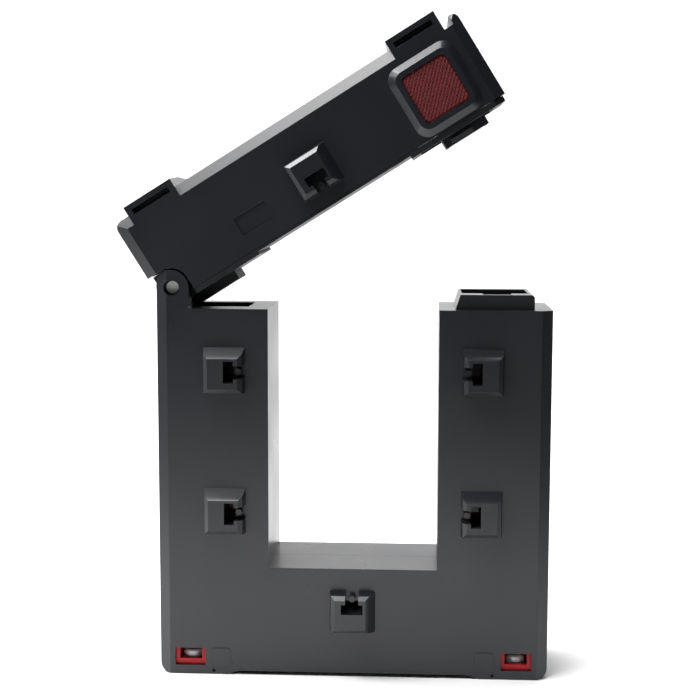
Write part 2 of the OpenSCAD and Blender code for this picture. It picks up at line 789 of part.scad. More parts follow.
// Cross recess of a screw head, cut upwards from z = 0.
module cross_recess(size, depth) {
    for (a = [0, 90]) rotate([0, 0, a])
        translate([-size / 2, -size / 9, -cut]) cube([size, size / 4.5, depth + cut]);
}

module housing_screws() {
    color(steel) for (s = [-1, 1], z = screw_rows) rear_screw(s * screw_x, z);
}

module hinge_pin() {
    color(steel) rod_y(pivot[0], pivot[2], pin_d, -half_d + pin_recess, half_d - pin_recess);
}

// ---------------------------------------------------------------- core and windings

module lower_core() {
    color(core_grey) {
        block([-core_x - pole_half, core_y[0], yoke_z], [core_x + pole_half, core_y[1], yoke_top]);
        for (s = [-1, 1])
            block([s * core_x - pole_half, core_y[0], yoke_z], [s * core_x + pole_half, core_y[1], pole_z]);
    }
}

// Plan of a bobbin flange: a rectangle cut to the bevelled room inside its leg.
module flange_outline(s) {
    intersection() {
        translate([s * core_x, core_mid]) square([2 * flange_x, 2 * flange_half_y], center = true);
        plan_section(half_w, wall + bobbin_room);
    }
}

module bobbin(s) {
    reach = bobbin_clear + bobbin_wall;
    color(nylon) translate([0, 0, bobbin_z]) difference() {
        union() {
            linear_extrude(bobbin_l) translate([s * core_x, core_mid])
                rounded(core_w + 2 * reach, core_d + 2 * reach, bobbin_wall);
            for (z = [0, bobbin_l - bobbin_flange_t])
                translate([0, 0, z]) linear_extrude(bobbin_flange_t) flange_outline(s);
        }
        translate([s * core_x, core_mid, -cut]) linear_extrude(bobbin_l + 2 * cut)
            square([core_w + 2 * bobbin_clear, core_d + 2 * bobbin_clear], center = true);
    }
}

module winding(s) {
    inside = bobbin_clear + bobbin_wall + winding_clear;
    color(copper) translate([s * core_x, core_mid, bobbin_z + bobbin_flange_t + winding_clear])
        linear_extrude(bobbin_l - 2 * bobbin_flange_t - 2 * winding_clear) difference() {
            rounded(2 * (flange_x - winding_inset), 2 * (flange_half_y - winding_inset), winding_r);
            rounded(core_w + 2 * inside, core_d + 2 * inside, bobbin_wall);
        }
}

// Lead from the foot of a winding down behind the core to the tag of its terminal strip.
module lead_wire(s) {
    x = s * terminal_x;
    y = inner_y - lead_d / 2 - lead_back;
    tag = lead_tag_y;
    bend_z = tag_top + lead_rise;
    r = lead_d / 2;
    color("firebrick") {
        translate([x, y, bend_z - r]) cylinder(d = lead_d, h = bobbin_z - lead_clear - bend_z + r);
        rod_y(x, bend_z, lead_d, tag - r, y + r);
        translate([x, tag, lead_end]) cylinder(d = lead_d, h = bend_z + r - lead_end);
    }
}

// ---------------------------------------------------------------- terminals

// Red block with a well for the strip and its screw, and a lip before the edge of the strip.
module terminal_block(s) {
    well = tscrew_head_d / 2 + head_clear;
    slot = lead_d / 2 + tblock_clear;
    above = tblock_floor + tblock_h + cut;
    x = s * terminal_x;
    color(terminal_red) difference() {
        block([x - tblock_w / 2, tblock_y, tblock_floor],
            [x + tblock_w / 2, tblock_y + tblock_d, tblock_floor + tblock_h]);
        block([x - well, tscrew_y - tstrip_w / 2 - strip_clear, tstrip_z],
            [x + well, tag_y + tstrip_t + tblock_clear, above]);
        block([x - well, tblock_y - cut, thead_z], [x + well, tscrew_y, above]);
        block([x - slot, tag_y, lead_end - tblock_clear], [x + slot, lead_tag_y + slot, above]);
        block([x - tnut_w / 2 - nut_clear, tscrew_y - tnut_w / 2 - nut_clear, tnut_z],
            [x + tnut_w / 2 + nut_clear, tscrew_y + tnut_w / 2 + nut_clear, tstrip_z + cut]);
    }
}

// Strip under the screw, with a tag that stands up behind it for the lead.
module terminal_strip(s) {
    x = s * terminal_x;
    w = tstrip_w / 2;
    color(steel) difference() {
        union() {
            block([x - w, tscrew_y - w, tstrip_z + strip_lift], [x + w, tag_y + tstrip_t, thead_z]);
            block([x - w, tag_y, tstrip_z + strip_lift], [x + w, tag_y + tstrip_t, tag_top]);
        }
        translate([x, tscrew_y, 0]) cylinder(d = tscrew_d + 2 * strip_clear, h = tag_top);
    }
}

module terminal_nuts() {
    color(steel) for (s = [-1, 1]) difference() {
        block([s * terminal_x - tnut_w / 2, tscrew_y - tnut_w / 2, tnut_z],
            [s * terminal_x + tnut_w / 2, tscrew_y + tnut_w / 2, tstrip_z]);
        translate([s * terminal_x, tscrew_y, 0])
            cylinder(d = tscrew_d + 2 * thread_clear, h = tstrip_z + cut);
    }
}

// Pan-head screw, turned about Z.
module terminal_screw(s) {
    r = tscrew_head_d / 2;
    color(steel) translate([s * terminal_x, tscrew_y, thead_z]) difference() {
        union() {
            rotate_extrude() polygon([[0, 0], [r, 0], [r, tscrew_head_h * 0.7],
                [r * 0.86, tscrew_head_h * 0.92], [r * 0.7, tscrew_head_h], [0, tscrew_head_h]]);
            translate([0, 0, tnut_z - thead_z]) cylinder(d = tscrew_d, h = thead_z - tnut_z);
        }
        translate([0, 0, tscrew_head_h]) mirror([0, 0, 1]) cross_recess(r, 1);
    }
}

// ---------------------------------------------------------------- lid

// Front view of the lid shells, shut, inset by m and with the bottom at z.
module lid_outline(m, z) {
    x = lid_half - m;
    top = lid_top_z - m;
    r = max(lid_corner_r - m, 0.3);
    difference() {
        union() {
            polygon([[-x, z], [x, z], [x, top], [-x + r, top], [-x, top - r]]);
            translate([-x + r, top - r]) circle(r);
        }
        lid_relief(relief_r + m, z - cut);
    }
}

// Clear space round the hinge ears, seen from the front.
module lid_relief(r, z) {
    translate([pivot[0], pivot[2]]) circle(r);
    translate([-2 * lid_half, z]) square([2 * lid_half + pivot[0], pivot[2] + r - z]);
    translate([-2 * lid_half, z]) square([2 * lid_half + pivot[0] + r, pivot[2] - z]);
}

// Side section of the lid with its bevelled upper edges, inset by m.
module lid_section(m, z) {
    y = half_d - m;
    top = lid_top_z - m;
    polygon([[-y, z], [y, z], [y, top - top_bevel_h], [y - bevel_d, top],
        [-y + bevel_d, top], [-y, top - top_bevel_h]]);
}

// Bevelled bar of the lid, inset by m.
module lid_bar(m, z) {
    intersection() {
        from_front(-half_d + m, half_d - m) lid_outline(m, z);
        from_side(-lid_half, lid_half) lid_section(m, z);
        translate([0, 0, z - cut]) linear_extrude(2 * lid_shell_h) plan_section(lid_half, m);
    }
}

// Raised tab across the top of the lid, with a blind slot in each face.
module lid_tab(s) {
    difference() {
        from_side(s * tab_x - tab_l / 2, s * tab_x + tab_l / 2)
            polygon([[-half_d, lid_top_z - top_bevel_h - 1], [half_d, lid_top_z - top_bevel_h - 1],
                [half_d, lid_top_z + tab_h], [0, lid_top_z + tab_h + tab_ridge],
                [-half_d, lid_top_z + tab_h]]);
        for (side = [-1, 1])
            translate([s * tab_x, side * half_d, lid_top_z + tab_slot_rise])
                cube([tab_slot_l, 2 * tab_slot_d, tab_slot_h], center = true);
    }
}

// Sloping bezel round the button hole.
module bezel() {
    rim = 2 * (button_clear + bezel_rim);
    skirt = rim + 2 * bezel_skirt;
    translate([button_x, -half_d, button_z]) hull() {
        from_front(skin, 3 * skin) rounded(button_w + skirt, button_h + skirt, bezel_r);
        from_front(-bezel_h, -bezel_h + skin) rounded(button_w + rim, button_h + rim, bezel_rim_r);
    }
}

// One half of the lid, before what only the front or only the rear has.
module lid_body(side) {
    half(side) difference() {
        union() {
            difference() {
                lid_bar(0, shell_z);
                difference() {
                    lid_bar(wall, shell_z - 2 * cut);
                    block([tab_end - wall, -half_d, notch_z - wall], [lid_half, half_d, lid_top_z]);
                }
            }
            for (s = [-1, 1]) lid_tab(s);
            intersection() {
                union() {
                    for (x = lid_screw_x) rod_y(x, lid_screw_z, boss_d, -half_d + weld, half_d - weld);
                    for (s = [-1, 1], y = [-plate_screw_y, plate_screw_y])
                        translate([s * plate_screw_x, y, plate_inner_z + boss_lift])
                            cylinder(d = boss_d, h = plate_screw_l);
                }
                lid_bar(weld, shell_z);
            }
        }
        block([tab_end, -half_d - cut, notch_z], [lip_x, half_d + cut, lid_top_z + cut]);
        lip_corner();
        block([moat_x[0], -moat_y, shell_z - cut], [moat_x[1], moat_y, moat_top]);
        block([relief_x - wall, -ear_y, shell_z - cut], [lug_root + hinge_gap, ear_y, neck_top + hinge_gap]);
        lid_core_room(core_clear);
        for (s = [-1, 1], y = [-plate_screw_y, plate_screw_y])
            translate([s * plate_screw_x, y, plate_z])
                cylinder(d = plate_screw_d + 2 * thread_clear, h = plate_screw_l + bore_spare);
    }
}

// Cuts the finger lip down and rounds its outer corner.
module lip_corner() {
    r = lip_t - lip_flat;
    z = lid_top_z - lip_drop;
    difference() {
        block([lip_x - cut / 4, -half_d - cut, z - r], [lid_half + cut, half_d + cut, lid_top_z + cut]);
        block([lip_x - cut, -half_d - 2 * cut, z - r - cut], [lid_half - r, half_d + 2 * cut, z]);
        rod_y(lid_half - r, z - r, 2 * r, -half_d - 2 * cut, half_d + 2 * cut);
    }
}

module lid_front_shell() {
    color(shell_grey) opened() difference() {
        union() {
            lid_body(-1);
            bezel();
            at_lid_block() mounting_block();
            block([button_x - strip_w / 2 - holder_side, -inner_y - weld, strip_top - strip_grip],
                [button_x + strip_w / 2 + holder_side, strip_back + holder_d, lid_inner_top + weld]);
        }
        at_lid_block() tee_hole();
        translate([button_x, 0, button_z]) from_front(-half_d - bezel_h - cut, flange_y)
            rounded(button_w + 2 * button_clear, button_h + 2 * button_clear, button_r + button_clear);
        block([button_x - strip_w / 2 - holder_clear, strip_front - holder_clear,
                strip_top - strip_grip - cut],
            [button_x + strip_w / 2 + holder_clear, strip_back + holder_clear, strip_top + holder_clear]);
        translate([panel_at[0], 0, shell_z + panel_at[1]])
            from_front(-half_d - cut, -half_d + panel_d) rounded(panel_size[0], panel_size[1], 0.8);
        for (x = lid_screw_x) rod_y(x, lid_screw_z, screw_d + 2 * thread_clear, half_d - screw_l - 1, 0);
    }
}

module lid_rear_shell() {
    color(shell_grey) opened() difference() {
        lid_body(1);
        for (x = lid_screw_x) screw_hole(x, lid_screw_z);
    }
}

// Bottom plate of the lid, with the hinge lug, the pole sleeves and the roof over the collar.
module lid_base_plate() {
    inner = inner_y - plate_clear;
    color(plate_grey) opened() difference() {
        union() {
            intersection() {
                union() {
                    block([relief_x, -half_d, plate_z], [plate_end, half_d, plate_top_z]);
                    block([relief_x, -half_d, pad_z], [-half_window - pad_inset, half_d, plate_z]);
                    block([half_window + pad_inset, -half_d, pad_z], [plate_end, half_d, plate_z]);
                }
                linear_extrude(2 * leg_top_z) plan_section(plate_end);
            }
            intersection() {
                union() {
                    block([relief_x + wall + plate_clear, -inner, plate_z], [lid_half, inner, plate_inner_z]);
                    block([moat_x[0] - roof_wall, -inner, plate_z], [lid_half, inner, roof_top]);
                }
                linear_extrude(2 * leg_top_z) plan_section(lid_half, wall + plate_clear);
            }
            from_front(-lug_half, lug_half) lug_outline();
            sleeve(-1, plate_z + cut);
            sleeve(1, roof_top);
        }
        difference() {
            block([moat_x[0], -moat_y, pad_z - cut], [moat_x[1], moat_y, moat_top]);
            sleeve(1, moat_top + cut);
        }
        block([button_x - button_w / 2 - button_bay, -half_d, plate_inner_z],
            [button_x + button_w / 2 + button_bay, sleeve_y[0] - sleeve_t, roof_top + cut]);
        lid_core_room(core_clear);
        rod_y(pivot[0], pivot[2], pin_d + 2 * pin_clear, -half_d, half_d);
        for (s = [-1, 1], y = [-plate_screw_y, plate_screw_y]) translate([s * plate_screw_x, y, plate_z]) {
            translate([0, 0, -cut]) cylinder(d = plate_screw_d + 2 * screw_clear, h = plate_t + 3 * cut);
            translate([0, 0, -skin])
                cylinder(d1 = plate_screw_head_d + 2 * plate_sink_clear,
                    d2 = plate_screw_d + 2 * plate_sink_clear,
                    h = plate_screw_cone + plate_sink_clear);
        }
    }
}

// Hinge lug that fills the space between the ears, seen from the front.
module lug_outline() {
    translate([pivot[0], pivot[2]]) circle(lug_r);
    translate([-lid_half + lug_inset, pivot[2]]) square([lid_half - lug_inset + pivot[0], lug_r]);
    translate([pivot[0], pad_z]) square([lug_root - pivot[0], neck_top - pad_z]);
}

// Room that the lid core needs, or with no clearance the core itself.
module lid_core_room(c) {
    y = [core_y[0] - c, core_y[1] + c];
    block([-core_x - pole_half - c, y[0], bar_z - c], [core_x + pole_half + c, y[1], bar_top + c]);
    for (s = [-1, 1])
        block([s * core_x - pole_half - c, y[0], lid_pole_z - cut * (c > 0 ? 1 : 0)],
            [s * core_x + pole_half + c, y[1], bar_top]);
}

// Sleeve that guides a pole of the lid core into its socket.
module sleeve(s, top) {
    block([s * core_x - sleeve_x, sleeve_y[0], lid_pole_z], [s * core_x + sleeve_x, sleeve_y[1], top]);
}

module lid_core() {
    color(core_grey) opened() lid_core_room(0);
}

// Bowed strip between the lid core and the top of the lid.
module leaf_spring(i) {
    rise = lid_inner_top - bar_top - 2 * leaf_clear;
    r = (leaf_half * leaf_half + rise * rise) / (2 * rise);
    color(steel) opened() translate([leaf_x[i], core_mid, bar_top + leaf_clear]) intersection() {
        from_front(-leaf_w / 2, leaf_w / 2) translate([0, rise - r]) difference() {
            circle(r);
            circle(r - leaf_t);
        }
        block([-r, -leaf_w, 0], [r, leaf_w, rise]);
    }
}

module lid_screws() {
    color(steel) opened() for (x = lid_screw_x) rear_screw(x, lid_screw_z);
}

module base_plate_screws() {
    color(steel) opened() for (s = [-1, 1], y = [-plate_screw_y, plate_screw_y])
        translate([s * plate_screw_x, y, plate_z + plate_screw_set]) difference() {
            union() {
                cylinder(d1 = plate_screw_head_d, d2 = plate_screw_d, h = plate_screw_cone);
                cylinder(d = plate_screw_d, h = plate_screw_l);
            }
            cross_recess(plate_screw_d, 0.7);
        }
}

// ---------------------------------------------------------------- latch

// Springy moulded arm that returns the button and ends in the hook.
module latch_arm() {
    color(plate_grey) opened() from_side(button_x - strip_w / 2, button_x + strip_w / 2)
        polygon([[strip_front, strip_top], [strip_back, strip_top], [strip_back, hook_z],
            [strip_front - hook_reach * 0.4, hook_z], [strip_front - hook_reach, hook_top],
            [strip_front, hook_top]]);
}

module latch_button() {
    color(button_red) opened() translate([button_x, 0, button_z]) {
        from_front(button_face_y, flange_y) rounded(button_w, button_h, button_r);
        from_front(flange_y, flange_y + flange_t)
            rounded(button_w + 2 * flange_w, button_h + 2 * flange_w, button_r);
        translate([0, 0, -button_pad_drop]) from_front(flange_y + flange_t - weld, strip_front - pad_clear)
            rounded(button_pad, button_pad, pad_r);
    }
}

// ---------------------------------------------------------------- nodes

lower_front_shell();
lower_rear_shell();
lower_core();
bobbin(-1);  // bobbin_left
bobbin(1);  // bobbin_right
winding(-1);  // winding_left
winding(1);  // winding_right
lead_wire(-1);  // lead_wire_left
lead_wire(1);  // lead_wire_right
terminal_block(-1);  // terminal_block_left
terminal_block(1);  // terminal_block_right
terminal_strip(-1);  // terminal_strip_left
terminal_strip(1);  // terminal_strip_right
terminal_nuts();
terminal_screw(-1);  // terminal_screw_left
terminal_screw(1);  // terminal_screw_right
housing_screws();
hinge_pin();
lid_front_shell();
lid_rear_shell();
lid_base_plate();
lid_core();
leaf_spring(0);  // leaf_spring_left
leaf_spring(1);  // leaf_spring_right
lid_screws();
base_plate_screws();
latch_arm();
latch_button();
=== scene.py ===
"""Split-core current transformer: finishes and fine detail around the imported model.

All sizes are in metres, in the frame of the model: X across the window, Y to the rear, Z up.
"""
import json
import math

import bmesh
import bpy
from mathutils import Matrix, Vector


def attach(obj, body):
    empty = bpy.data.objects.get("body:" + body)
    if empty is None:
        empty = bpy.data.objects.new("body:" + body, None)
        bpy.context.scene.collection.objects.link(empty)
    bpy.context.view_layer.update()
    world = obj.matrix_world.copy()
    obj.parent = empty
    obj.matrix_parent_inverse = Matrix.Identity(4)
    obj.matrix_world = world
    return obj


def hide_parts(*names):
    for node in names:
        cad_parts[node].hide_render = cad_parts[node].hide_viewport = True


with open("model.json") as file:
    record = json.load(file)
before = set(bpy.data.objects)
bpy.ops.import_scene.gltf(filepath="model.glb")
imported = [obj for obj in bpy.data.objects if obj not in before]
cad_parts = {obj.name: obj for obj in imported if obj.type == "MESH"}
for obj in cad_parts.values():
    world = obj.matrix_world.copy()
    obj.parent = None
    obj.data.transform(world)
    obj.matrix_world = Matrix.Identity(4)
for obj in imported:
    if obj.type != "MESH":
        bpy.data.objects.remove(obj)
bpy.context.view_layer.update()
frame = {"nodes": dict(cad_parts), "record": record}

MM = 0.001
BODY_OF = {node: body for body, nodes in frame["record"]["behaviour"]["bodies"].items()
           for node in nodes}
SLOT_OF = {part["node"]: part["material_slot"] for part in frame["record"]["subparts"]}
HINGE = next(j for j in frame["record"]["behaviour"]["joints"] if j["name"] == "lid_hinge")
PIVOT = Vector(HINGE["pos_m"])
OPEN_ANGLE = math.radians(-HINGE["range_deg"][0])

# Turns a point of the closed lid to where the lid stands open at rest.
LID_OPEN = (Matrix.Translation(PIVOT) @ Matrix.Rotation(-OPEN_ANGLE, 4, "Y")
            @ Matrix.Translation(-PIVOT))


# ---------------------------------------------------------------- shader groups

def new_group(name, inputs, outputs):
    """An empty shader group; inputs and outputs are (name, kind, default) triples."""
    group = bpy.data.node_groups.new(name, "ShaderNodeTree")
    for label, kind, default in inputs:
        socket = group.interface.new_socket(label, in_out="INPUT", socket_type=kind)
        socket.default_value = default
    for label, kind in outputs:
        group.interface.new_socket(label, in_out="OUTPUT", socket_type=kind)
    return group, group.nodes.new("NodeGroupInput"), group.nodes.new("NodeGroupOutput")


def add(tree, kind, **values):
    """A node with its plain properties set; keys that are socket names go to the sockets."""
    node = tree.nodes.new(kind)
    for key, value in values.items():
        if hasattr(node, key):
            setattr(node, key, value)
        else:
            node.inputs[key.replace("_", " ")].default_value = value
    return node


def math_node(tree, operation, a, b):
    """A Math node; a and b are sockets or numbers."""
    node = tree.nodes.new("ShaderNodeMath")
    node.operation = operation
    for socket, value in zip(node.inputs, (a, b)):
        if isinstance(value, bpy.types.NodeSocket):
            tree.links.new(value, socket)
        else:
            socket.default_value = value
    return node.outputs[0]


def build_spark_grain():
    """Fine pitted texture of a spark-eroded mould, with broad uneven gloss."""
    group, start, end = new_group(
        "Spark grain",
        [("Vector", "NodeSocketVector", (0, 0, 0)), ("Pit size", "NodeSocketFloat", 2600.0),
         ("Cloud size", "NodeSocketFloat", 40.0)],
        [("Height", "NodeSocketFloat"), ("Cloud", "NodeSocketFloat")])
    pits = add(group, "ShaderNodeTexNoise", Detail=3.0, Roughness=0.6)
    clouds = add(group, "ShaderNodeTexNoise", Detail=2.0, Roughness=0.5)
    for node, size in ((pits, "Pit size"), (clouds, "Cloud size")):
        group.links.new(start.outputs["Vector"], node.inputs["Vector"])
        group.links.new(start.outputs[size], node.inputs["Scale"])
    group.links.new(pits.outputs["Fac"], end.inputs["Height"])
    group.links.new(clouds.outputs["Fac"], end.inputs["Cloud"])
    return group


def build_handling_marks():
    """Faint rubbed patches and hairline scuffs, as a mask from 0 to 1."""
    group, start, end = new_group(
        "Handling marks",
        [("Vector", "NodeSocketVector", (0, 0, 0)), ("Amount", "NodeSocketFloat", 0.5)],
        [("Mask", "NodeSocketFloat")])
    patches = add(group, "ShaderNodeTexNoise", Scale=35.0, Detail=1.0, Roughness=0.4)
    group.links.new(start.outputs["Vector"], patches.inputs["Vector"])
    stretch = add(group, "ShaderNodeMapping")
    stretch.inputs["Scale"].default_value = (1.0, 1.0, 0.06)
    stretch.inputs["Rotation"].default_value = (0.3, 0.9, 0.4)
    group.links.new(start.outputs["Vector"], stretch.inputs["Vector"])
    hairs = add(group, "ShaderNodeTexNoise", Scale=1400.0, Detail=2.0, Roughness=0.5)
    group.links.new(stretch.outputs["Vector"], hairs.inputs["Vector"])
    patch = add(group, "ShaderNodeMapRange")
    patch.inputs["From Min"].default_value = 0.35
    patch.inputs["From Max"].default_value = 0.95
    group.links.new(patches.outputs["Fac"], patch.inputs["Value"])
    hair = add(group, "ShaderNodeMapRange")
    hair.inputs["From Min"].default_value = 0.66
    hair.inputs["From Max"].default_value = 0.74
    group.links.new(hairs.outputs["Fac"], hair.inputs["Value"])
    both = math_node(group, "MULTIPLY", patch.outputs["Result"],
                     math_node(group, "ADD", 0.35, hair.outputs["Result"]))
    group.links.new(math_node(group, "MULTIPLY", both, start.outputs["Amount"]), end.inputs["Mask"])
    return group


def build_drawn_lines():
    """Fine parallel drawing lines of rolled or turned metal, along one axis of the piece."""
    group, start, end = new_group(
        "Drawn lines",
        [("Vector", "NodeSocketVector", (0, 0, 0)), ("Stretch", "NodeSocketVector", (1, 1, 1)),
         ("Line size", "NodeSocketFloat", 3000.0)],
        [("Height", "NodeSocketFloat")])
    scale = add(group, "ShaderNodeVectorMath", operation="MULTIPLY")
    group.links.new(start.outputs["Vector"], scale.inputs[0])
    group.links.new(start.outputs["Stretch"], scale.inputs[1])
    lines = add(group, "ShaderNodeTexNoise", Detail=2.0, Roughness=0.6)
    group.links.new(scale.outputs["Vector"], lines.inputs["Vector"])
    group.links.new(start.outputs["Line size"], lines.inputs["Scale"])
    group.links.new(lines.outputs["Fac"], end.inputs["Height"])
    return group


GLOSS_SPREAD = 0.08      # how far uneven gloss takes the roughness to either side
RUBBED_GLOSS = 0.10      # how much smoother a rubbed patch is

SPARK_GRAIN = build_spark_grain()
HANDLING_MARKS = build_handling_marks()
DRAWN_LINES = build_drawn_lines()


# ---------------------------------------------------------------- materials

def new_material(name, color, roughness, metallic=0.0, specular=0.5, coat=0.0):
    """A Principled material with its plain values on the shader's own sockets."""
    material = bpy.data.materials.new(name)
    material.use_nodes = True
    tree = material.node_tree
    shader = tree.nodes["Principled BSDF"]
    shader.inputs["Base Color"].default_value = (*color, 1)
    shader.inputs["Roughness"].default_value = roughness
    shader.inputs["Metallic"].default_value = metallic
    shader.inputs["Specular IOR Level"].default_value = specular
    shader.inputs["Coat Weight"].default_value = coat
    place = tree.nodes.new("ShaderNodeTexCoord").outputs["Object"]
    return material, tree, shader, place


def use_group(tree, group, place, **values):
    """A group node that reads object coordinates."""
    node = tree.nodes.new("ShaderNodeGroup")
    node.node_tree = group
    tree.links.new(place, node.inputs["Vector"])
    for key, value in values.items():
        node.inputs[key.replace("_", " ")].default_value = value
    return node


def map_range(tree, value, low, high, start=0.0, stop=1.0):
    """Maps a socket from start..stop to low..high."""
    node = tree.nodes.new("ShaderNodeMapRange")
    tree.links.new(value, node.inputs["Value"])
    for label, number in (("From Min", start), ("From Max", stop), ("To Min", low), ("To Max", high)):
        node.inputs[label].default_value = number
    return node.outputs["Result"]


def bump(tree, shader, height, distance):
    """Feeds a height socket to the shader's normal."""
    node = tree.nodes.new("ShaderNodeBump")
    node.inputs["Distance"].default_value = distance
    node.inputs["Strength"].default_value = 1.0
    tree.links.new(height, node.inputs["Height"])
    tree.links.new(node.outputs["Normal"], shader.inputs["Normal"])


def mix_colors(tree, mask, low, high):
    """A colour that goes from low to high with a mask socket."""
    node = tree.nodes.new("ShaderNodeMix")
    node.data_type = "RGBA"
    tree.links.new(mask, node.inputs["Factor"])
    node.inputs[6].default_value = (*low, 1)
    node.inputs[7].default_value = (*high, 1)
    return node.outputs[2]


def satin_plastic(name, color, pit_depth, roughness, marks, specular=0.5):
    """Moulded plastic with a spark-eroded skin and faint handling marks."""
    material, tree, shader, place = new_material(name, color, roughness, specular=specular)
    grain = use_group(tree, SPARK_GRAIN, place)
    rubbed = use_group(tree, HANDLING_MARKS, place, Amount=marks)
    base = map_range(tree, grain.outputs["Cloud"], roughness - GLOSS_SPREAD, roughness + GLOSS_SPREAD)
    smoother = math_node(tree, "MULTIPLY", rubbed.outputs["Mask"], RUBBED_GLOSS)
    gloss = math_node(tree, "SUBTRACT", base, smoother)
    tree.links.new(gloss, shader.inputs["Roughness"])
    pale = tuple(min(1.0, c * 1.5 + 0.004) for c in color)
    tree.links.new(mix_colors(tree, rubbed.outputs["Mask"], color, pale), shader.inputs["Base Color"])
    bump(tree, shader, grain.outputs["Height"], pit_depth)
    return material


def glossy_plastic(name, color, roughness, coat, specular=0.5):
    """Glossy moulded plastic with slight flow unevenness."""
    material, tree, shader, place = new_material(name, color, roughness, specular=specular, coat=coat)
    grain = use_group(tree, SPARK_GRAIN, place, Pit_size=900.0, Cloud_size=160.0)
    deep = tuple(c * 0.7 for c in color)
    tree.links.new(mix_colors(tree, grain.outputs["Cloud"], deep, color), shader.inputs["Base Color"])
    tree.links.new(map_range(tree, grain.outputs["Height"], roughness - 0.05, roughness + 0.08),
                   shader.inputs["Roughness"])
    bump(tree, shader, grain.outputs["Cloud"], 0.03 * MM)
    return material


def drawn_metal(name, color, roughness, stretch, line_depth=0.004, metallic=1.0):
    """Rolled, drawn or turned metal with fine lines."""
    material, tree, shader, place = new_material(name, color, roughness, metallic=metallic)
    lines = use_group(tree, DRAWN_LINES, place, Stretch=stretch)
    grain = use_group(tree, SPARK_GRAIN, place, Cloud_size=220.0)
    dull = tuple(c * 0.72 for c in color)
    tree.links.new(mix_colors(tree, grain.outputs["Cloud"], dull, color), shader.inputs["Base Color"])
    tree.links.new(map_range(tree, lines.outputs["Height"], roughness - 0.06, roughness + 0.12),
                   shader.inputs["Roughness"])
    bump(tree, shader, lines.outputs["Height"], line_depth * MM)
    return material


def laminated_steel():
    """Stacked core sheets: their edges show as fine lines through the depth of the stack."""
    material, tree, shader, place = new_material("core laminations", (0.33, 0.34, 0.36), 0.42,
                                                 metallic=1.0)
    sheets = tree.nodes.new("ShaderNodeTexWave")
    sheets.wave_type = "BANDS"
    sheets.bands_direction = "Y"
    sheets.inputs["Scale"].default_value = 900.0
    sheets.inputs["Distortion"].default_value = 0.4
    sheets.inputs["Detail"].default_value = 1.0
    tree.links.new(place, sheets.inputs["Vector"])
    rust_free = mix_colors(tree, sheets.outputs["Fac"], (0.10, 0.10, 0.11), (0.42, 0.43, 0.45))
    tree.links.new(rust_free, shader.inputs["Base Color"])
    bump(tree, shader, sheets.outputs["Fac"], 0.03 * MM)
    return material


def wound_copper():
    """Enamelled wire laid turn on turn round the bobbin."""
    material, tree, shader, place = new_material("enamelled copper", (0.14, 0.05, 0.025), 0.34,
                                                 metallic=0.9, coat=0.5)
    turns = tree.nodes.new("ShaderNodeTexWave")
    turns.wave_type = "BANDS"
    turns.bands_direction = "Z"
    turns.inputs["Scale"].default_value = 640.0
    turns.inputs["Distortion"].default_value = 0.3
    tree.links.new(place, turns.inputs["Vector"])
    tree.links.new(mix_colors(tree, turns.outputs["Fac"], (0.035, 0.012, 0.007), (0.16, 0.055, 0.025)),
                   shader.inputs["Base Color"])
    bump(tree, shader, turns.outputs["Fac"], 0.12 * MM)
    return material


MATERIALS = {
    "housing_plastic": satin_plastic("satin black housing", (0.012, 0.013, 0.016), 0.005 * MM,
                                     0.30, 0.0),
    "inner_plastic": satin_plastic("satin black inner parts", (0.008, 0.009, 0.011), 0.005 * MM,
                                   0.55, 0.15, specular=0.25),
    "core_steel": laminated_steel(),
    "bobbin_nylon": satin_plastic("natural nylon", (0.72, 0.68, 0.55), 0.006 * MM, 0.40, 0.2),
    "winding_copper": wound_copper(),
    "wire_sleeve": glossy_plastic("red wire sleeve", (0.42, 0.02, 0.02), 0.35, 0.1),
    "terminal_red": glossy_plastic("glossy red terminal", (0.50, 0.004, 0.010), 0.30, 0.0, specular=0.3),
    "terminal_metal": drawn_metal("nickel plate", (0.88, 0.90, 0.92), 0.45, (1, 1, 4), metallic=0.35),
    "screw_steel": drawn_metal("zinc plate", (0.55, 0.56, 0.57), 0.32, (1, 0.2, 1)),
    "pin_steel": drawn_metal("bright pin steel", (0.93, 0.92, 0.88), 0.48, (1, 0.1, 1), metallic=0.4),
    "spring_steel": drawn_metal("spring steel", (0.46, 0.47, 0.50), 0.30, (0.1, 1, 1)),
    "button_red": glossy_plastic("dark red button", (0.13, 0.008, 0.010), 0.48, 0.0, specular=0.3),
}


# ---------------------------------------------------------------- mesh work

def give(piece, node, body=None):
    """Rides a finished piece on the body of a CAD node and gives it that node's finish."""
    piece.data.materials.clear()
    piece.data.materials.append(MATERIALS[SLOT_OF[node]])
    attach(piece, body or BODY_OF[node])
    return piece


def link(name, mesh):
    """A new object at the origin that shows a mesh."""
    piece = bpy.data.objects.new(name, mesh)
    bpy.context.scene.collection.objects.link(piece)
    return piece


def baked(piece):
    """Turns a piece's modifiers into plain mesh and removes them."""
    bpy.context.view_layer.update()
    graph = bpy.context.evaluated_depsgraph_get()
    mesh = bpy.data.meshes.new_from_object(piece.evaluated_get(graph), depsgraph=graph)
    piece.modifiers.clear()
    piece.data = mesh
    return piece


FLAT_AREA = 0.5 * MM * MM    # front and rear faces from this size on are shaded flat
FACING = 0.9999              # how squarely a face looks to the front or the rear


def shade(mesh, sharp_angle=32.0):
    """Smooth faces with crisp sharp edges; the broad front and rear faces stay plainly flat."""
    work = bmesh.new()
    work.from_mesh(mesh)
    limit = math.radians(sharp_angle)
    for face in work.faces:
        face.smooth = abs(face.normal.y) < FACING or face.calc_area() < FLAT_AREA
    for edge in work.edges:
        edge.smooth = len(edge.link_faces) == 2 and edge.calc_face_angle(0.0) < limit
    work.to_mesh(mesh)
    work.free()


